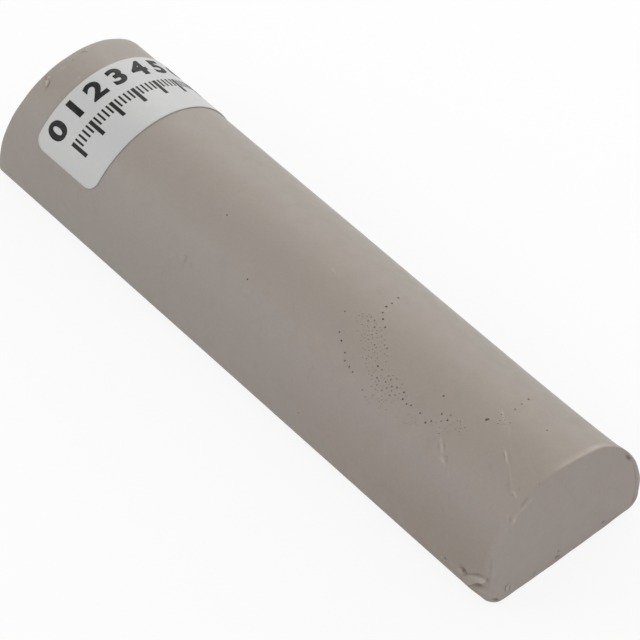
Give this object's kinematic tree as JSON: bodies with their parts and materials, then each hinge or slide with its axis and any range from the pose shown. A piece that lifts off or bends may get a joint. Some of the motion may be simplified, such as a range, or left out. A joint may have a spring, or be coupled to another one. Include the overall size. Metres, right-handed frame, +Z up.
{
  "type": "furniture repair wax stick",
  "caption": "Solid half-round bar of warm grey repair wax with a flat foot to lie on, and a small white paper label with a printed scale bent round its back near one end.",
  "frame": {"origin": "centre of the flat foot that the bar lies on", "axes": "+X along the bar towards its flared end, +Z up out of the foot towards the ridge of the round back, +Y to the side that the label reaches further down"},
  "size_m": [0.08, 0.0216, 0.0136],
  "materials": {
    "wax": "warm grey pigmented wax, dull satin",
    "label_paper": "smooth white label paper",
    "label_adhesive": "dried pressure-sensitive adhesive film"
  },
  "bodies": {
    "root": {"wax_bar": "wax", "paper_label": "label_paper", "label_adhesive": "label_adhesive"}
  },
  "joints": []
}
